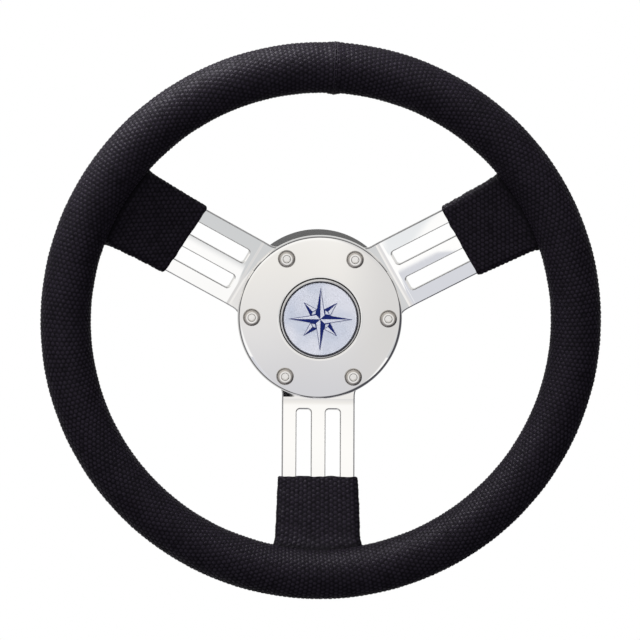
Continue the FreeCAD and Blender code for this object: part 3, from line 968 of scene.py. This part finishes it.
def makeScrews():
    master = makeScrew()
    copies = []
    for index, (turn, x, z) in enumerate(screwPlaces()):
        copy = copyPiece(master, "screw" + str(index))
        copy.rotation_euler = Euler((0, -turn * 1.37 - 0.4 * index, 0))
        copy.location = (x, 0, z)
        copies.append(copy)
    bpy.data.objects.remove(master)
    row = joinAll(copies, "capScrewsTurned")
    smooth(row, 35)
    finishPiece(row, screwShadedSteel, ["cap_screws"])
    # The screws keep the darker steel, painted shade on their flanks; faces near the top that face the driver take the
    # bright copy, a painted highlight
    row.data.materials.append(screwPaintedHighlight)
    top = seatDepth - screw["headHeight"]
    for face in row.data.polygons:
        near = face.center.y < top + screw["highlightBelow"]
        face.material_index = int(near and face.normal.y < -screw["highlightFacing"])


bezel = {
    "skirt": 2.8 * mm,
    "collar": 0.4 * mm,
    "bevel": 0.95 * mm,
    "discPlay": 0.1 * mm,
    "lipDrop": 0.6 * mm,
    "discThick": 1.2 * mm,
}


def makeBezel():
    # The polished cap that carries the emblem, with a rounded crest round its recess
    crest = capLow.y
    collar = domeDepth(plate["holeRadius"]) - bezel["collar"]
    lipOuter = capRadius - bezel["bevel"]
    recess = discRadius + bezel["discPlay"]
    shoulder = crest + bezel["lipDrop"] / 2
    discBack = crest + bezel["lipDrop"] + bezel["discThick"]
    stations = [(capRadius - bezel["skirt"], capHigh.y), (capRadius, capHigh.y)]
    stations += [(capRadius, collar + 0.25 * mm), (capRadius - 0.08 * mm, collar)]
    for index in range(1, 7):
        share = index / 7
        spread = capRadius - 0.08 * mm + (lipOuter - capRadius) * share + 0.16 * mm * math.sin(math.pi * share)
        stations.append((spread, collar + (shoulder - collar) * share))
    stations += arcStations((lipOuter - 0.1 * mm, crest + 0.25 * mm), 0.25 * mm, 20, 140, 6)
    stations += [(recess + 0.12 * mm, crest + bezel["lipDrop"] + 0.45 * mm)]
    stations += [(recess, crest + bezel["lipDrop"] + 0.5 * mm)]
    stations += [(recess, discBack), (1 * mm, discBack), (1 * mm, discBack + 1.8 * mm)]
    stations += [(capRadius - bezel["skirt"], discBack + 1.8 * mm)]
    piece = turnOnAxis("centreBezel", stations)
    smooth(piece, 34)
    finishPiece(piece, bezelMetal, ["centre_cap"])
    # The lip's inner slope down to the emblem takes the dark metal: painted shade in the recess
    piece.data.materials.append(bezelRecessShade)
    for face in piece.data.polygons:
        reach = math.hypot(face.center.x, face.center.z)
        inRecessShade = recess - 0.02 * mm < reach < lipOuter - 0.25 * mm
        face.material_index = int(inRecessShade and face.center.y < discBack)


def dressedCopy(nodeName, name, material, degrees):
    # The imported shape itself, welded and shaded so that its broken edges catch the light as rounded ones
    piece = copyPiece(frame["nodes"][nodeName], name)
    for key in list(piece.keys()):
        del piece[key]
    piece.parent = None
    startEdit(piece)
    bpy.ops.mesh.customdata_custom_splitnormals_clear()
    bpy.ops.mesh.remove_doubles(threshold=0.000002)
    bpy.ops.mesh.dissolve_limited(angle_limit=math.radians(0.4))
    stopEdit()
    smooth(piece, degrees)
    applyModifier(piece, "WEIGHTED_NORMAL", mode="FACE_AREA", weight=100, keep_sharp=True)
    finishPiece(piece, material, [nodeName])
    return piece


makeCapPlate()
makeScrews()
makeBezel()
spokes = dressedCopy("spider", "spokePlatePolished", polishedSteel, 30)
spokes.data.materials.append(edgeSteel)
for face in spokes.data.polygons:
    # The slots' and the arms' broken edges
    face.material_index = int(0.3 < abs(face.normal.y) < 0.88)
dressedCopy("hub", "hubBlackCasting", hubBlack, 40)
dressedCopy("cap_disc", "emblemFace", pearl, 40)


def paintNode(nodeName, material):
    mesh = frame["nodes"][nodeName].data
    mesh.materials.clear()
    mesh.materials.append(material)


paintNode("rim_ring", barSteel)
paintNode("rim_foam", foamBlack)
paintNode("support_ring", spacerGrey)
paintNode("cap_seal", rubberBlack)
paintNode("compass_rose", navyPrint)
paintNode("compass_lights", palePrint)
print("metal and emblem finished")


# Studio

studio = {
    "floorHeight": -0.62,
    "floorSize": 14,
    "front": {"low": (0.73, 0.73, 0.765), "high": (0.955, 0.935, 0.905), "from": -0.42, "to": 0.1},
    "fill": {"low": (0.10, 0.10, 0.11), "high": (0.5, 0.495, 0.49), "from": -0.5, "to": 0.8},
}
# What stands round the wheel, as metal mirrors it, later ones over earlier ones: a name, a colour, and the
# half-spaces that its patch lies in, each a direction and how far towards it the patch fades in. The flat
# steel mirrors one narrow spot per arm, and each split runs through the spot of its arm and of its root.
leftArmSpot = (0.483, -0.788, -0.382)
rightArmSpot = (-0.42, -0.821, -0.387)
middleSpot = (0.035, -0.992, -0.125)
leftSplit = (0.5263, -0.0846, 0.8461)
rightSplit = (0.5299, 0.1225, -0.8392)
left, right, down, front, back, up = (-1, 0, 0), (1, 0, 0), (0, 0, -1), (0, -1, 0), (0, 1, 0), (0, 0, 1)
surroundings = [
    ("dimSides", (0.34, 0.34, 0.35), [(back, -0.62, -0.34)]),
    ("farWall", (0.75, 0.75, 0.74), [(back, 0.1, 0.6)]),
    ("ceilingCard", (1.1, 1.09, 1.07), [(up, 0.08, 0.42), (front, 0.45, 0.6)]),
    ("rightEdge", (0.34, 0.34, 0.36), [(right, 0.5, 0.6), (front, 0.2, 0.4)]),
    ("rightSoft", (0.77, 0.76, 0.755), [(right, 0.08, 0.34), (front, 0.3, 0.5)]),
    ("lowRightDark", (0.12, 0.12, 0.14), [((0.7, 0, -0.714), 0.5, 0.72)]),
    ("leftArmCard", (1.1, 1.1, 1.1), [(leftArmSpot, 0.970, 0.984)]),
    ("rightArmCard", (1.11, 1.11, 1.11), [(rightArmSpot, 0.970, 0.984)]),
    ("middleCard", (0.97, 0.955, 0.94), [(middleSpot, 0.9885, 0.9905), (down, 0.119, 0.122)]),
    ("leftRootGrey", (0.7, 0.712, 0.725),
     [(middleSpot, 0.9868, 0.988), (leftSplit, -0.0008, 0.0008), (down, 0.104, 0.106)]),
    ("leftArmGrey", (0.69, 0.705, 0.72), [(leftArmSpot, 0.970, 0.984), (leftSplit, -0.002, 0.0008)]),
    ("rightArmLilac", (0.735, 0.75, 0.81), [(rightArmSpot, 0.970, 0.984), (rightSplit, -0.0006, 0.0006)]),
    ("rightArmTip", (1.11, 1.11, 1.11),
     [(rightArmSpot, 0.999, 0.9996), ((-0.1611, -0.3498, 0.9229), -0.0004, 0.0004)]),
    ("rightArmPale", (0.91, 0.935, 0.96),
     [(rightArmSpot, 0.978, 0.992), ((-0.5763, -0.0804, 0.8133), -0.0006, 0.0006),
      ((-0.7465, 0.0789, 0.6606), -0.0008, 0.0008), ((0.8687, -0.2591, -0.4221), -0.0008, 0.0008)]),
    ("lowerRootBlack", (0.01, 0.01, 0.012),
     [(middleSpot, 0.9885, 0.995), ((-0.496, 0, 0.868), -0.1367, -0.1365), (down, 0.1386, 0.1392),
      (left, -0.0292, -0.0288), (right, 0.0245, 0.0252)]),
]


def inside(tree, look, halfSpaces):
    # 1 where the view lies in all of the half-spaces
    whole = None
    for direction, start, end in halfSpaces:
        dot = tree.nodes.new("ShaderNodeVectorMath")
        dot.operation = "DOT_PRODUCT"
        dot.inputs[1].default_value = direction
        tree.links.new(look, dot.inputs[0])
        step = tree.nodes.new("ShaderNodeMapRange")
        step.interpolation_type = "SMOOTHSTEP"
        step.inputs["From Min"].default_value = start
        step.inputs["From Max"].default_value = end
        tree.links.new(dot.outputs["Value"], step.inputs["Value"])
        part = step.outputs["Result"]
        whole = part if whole is None else combine(tree, whole, part)
    return whole


def heightColour(tree, height, look):
    return mixColour(tree, rampFrom(tree, height, 0.0, 1.0, look["from"], look["to"]), look["low"], look["high"])


def mixShader(tree, share, first, second):
    mix = tree.nodes.new("ShaderNodeMixShader")
    for source, socket in zip((share, first, second), mix.inputs):
        tree.links.new(source, socket)
    return mix.outputs["Shader"]


def makeWorld():
    # White to the camera; metal sees the studio's cards, and cloth and leather a soft fill from above
    world = bpy.data.worlds.new("studio")
    bpy.context.scene.world = world
    world.use_nodes = True
    tree = world.node_tree
    tree.nodes.clear()
    path = tree.nodes.new("ShaderNodeLightPath").outputs
    look = tree.nodes.new("ShaderNodeTexCoord").outputs["Generated"]
    parts = tree.nodes.new("ShaderNodeSeparateXYZ")
    tree.links.new(look, parts.inputs["Vector"])
    mirrored = heightColour(tree, parts.outputs["Z"], studio["front"])
    for name, colour, halfSpaces in surroundings:
        mirrored = mixColour(tree, inside(tree, look, halfSpaces), mirrored, colour)
    fill = heightColour(tree, parts.outputs["Z"], studio["fill"])
    soft, cards, seen = [tree.nodes.new("ShaderNodeBackground") for _ in range(3)]
    tree.links.new(fill, soft.inputs["Color"])
    tree.links.new(mirrored, cards.inputs["Color"])
    seen.inputs["Color"].default_value = (1, 1, 1, 1)
    either = combine(tree, path["Is Glossy Ray"], path["Is Transmission Ray"], "MAXIMUM")
    unseen = mixShader(tree, either, soft.outputs["Background"], cards.outputs["Background"])
    output = tree.nodes.new("ShaderNodeOutputWorld")
    whole = mixShader(tree, path["Is Camera Ray"], unseen, seen.outputs["Background"])
    tree.links.new(whole, output.inputs["Surface"])


def makeFloor():
    # White where the camera sees it, and out of the way of the metal's reflections
    deselectAll()
    bpy.ops.mesh.primitive_plane_add(size=studio["floorSize"], location=(0, 0, studio["floorHeight"]))
    floor = latest("studioFloor")
    material, tree, shader = newMaterial("whiteTable")
    shader["Base Color"].default_value = (0.35, 0.35, 0.37, 1)
    shader["Roughness"].default_value = 0.9
    path = tree.nodes.new("ShaderNodeLightPath").outputs
    white = tree.nodes.new("ShaderNodeEmission")
    white.inputs["Color"].default_value = (1, 1, 1, 1)
    clear = tree.nodes.new("ShaderNodeBsdfTransparent")
    table = tree.nodes["Principled BSDF"].outputs["BSDF"]
    unseen = mixShader(tree, path["Is Glossy Ray"], table, clear.outputs["BSDF"])
    seen = mixShader(tree, path["Is Camera Ray"], unseen, white.outputs["Emission"])
    tree.links.new(seen, tree.nodes["Material Output"].inputs["Surface"])
    floor.data.materials.append(material)


def makeLamp(name, place, size, power, colour, onLeather):
    data = bpy.data.lights.new(name, "AREA")
    data.shape = "RECTANGLE"
    data.size, data.size_y = size
    data.energy = power
    data.color = colour
    lamp = bpy.data.objects.new(name, data)
    lamp.location = place
    lamp.rotation_euler = (lampTarget - Vector(place)).to_track_quat("-Z", "Y").to_euler()
    # The polished steel mirrors the cards only, so that no lamp burns out along its edges
    lamp.visible_glossy = onLeather
    if onLeather:
        lamp.visible_diffuse = False
        lamp.light_linking.receiver_collection = leatherPieces
    bpy.context.scene.collection.objects.link(lamp)


leatherPieces = bpy.data.collections.new("leatherPieces")
for piece in bpy.context.scene.objects:
    if piece.type == "MESH" and piece.active_material in (leather, thread):
        leatherPieces.objects.link(piece)

makeWorld()
makeFloor()
lampTarget = Vector((0, -0.05, 0))
makeLamp("topSoftbox", (-0.4, -0.3, 1.5), (1.4, 0.9), 42, (1.0, 0.985, 0.97), False)
makeLamp("leftSoftbox", (-1.5, -1.1, 0.45), (0.9, 1.2), 18, (1.0, 0.99, 0.98), False)
makeLamp("rightFill", (1.6, -1.2, 0.1), (0.9, 1.2), 7, (0.96, 0.98, 1.0), False)
makeLamp("leatherGleam", (-0.62, -0.2, 1.3), (1.7, 1.0), 90, (1.0, 1.0, 1.0), True)


# Camera: fitted to the rim, plate, screws and hub in the photograph

view = {
    "azimuth": math.radians(-2.05),
    "elevation": math.radians(7.10),
    "distance": 2.6,
    "aimAzimuth": math.radians(-2.032),
    "aimElevation": math.radians(7.064),
    "roll": math.radians(0.86),
    "lens": 234.47,
    "sensor": 36.0,
    "farthest": 30,
}


def towards(azimuth, elevation):
    level = math.cos(elevation)
    return Vector((math.sin(azimuth) * level, -math.cos(azimuth) * level, math.sin(elevation)))


def makeCamera():
    data = bpy.data.cameras.new("camera")
    data.sensor_width = view["sensor"]
    data.lens = view["lens"]
    data.clip_end = view["farthest"]
    camera = bpy.data.objects.new("camera", data)
    behind = towards(view["aimAzimuth"], view["aimElevation"])
    sideways = Vector((math.cos(view["aimAzimuth"]), math.sin(view["aimAzimuth"]), 0))
    upright = behind.cross(sideways)
    cosRoll, sinRoll = math.cos(view["roll"]), math.sin(view["roll"])
    tiltSideways = cosRoll * sideways + sinRoll * upright
    tiltUpright = -sinRoll * sideways + cosRoll * upright
    place = Vector((0, rimPlane, 0)) + towards(view["azimuth"], view["elevation"]) * view["distance"]
    camera.matrix_world = frameAt(place, tiltSideways, tiltUpright, behind)
    bpy.context.scene.collection.objects.link(camera)
    bpy.context.scene.camera = camera


makeCamera()
bpy.context.scene.view_settings.view_transform = "Standard"
print("studio and camera set")
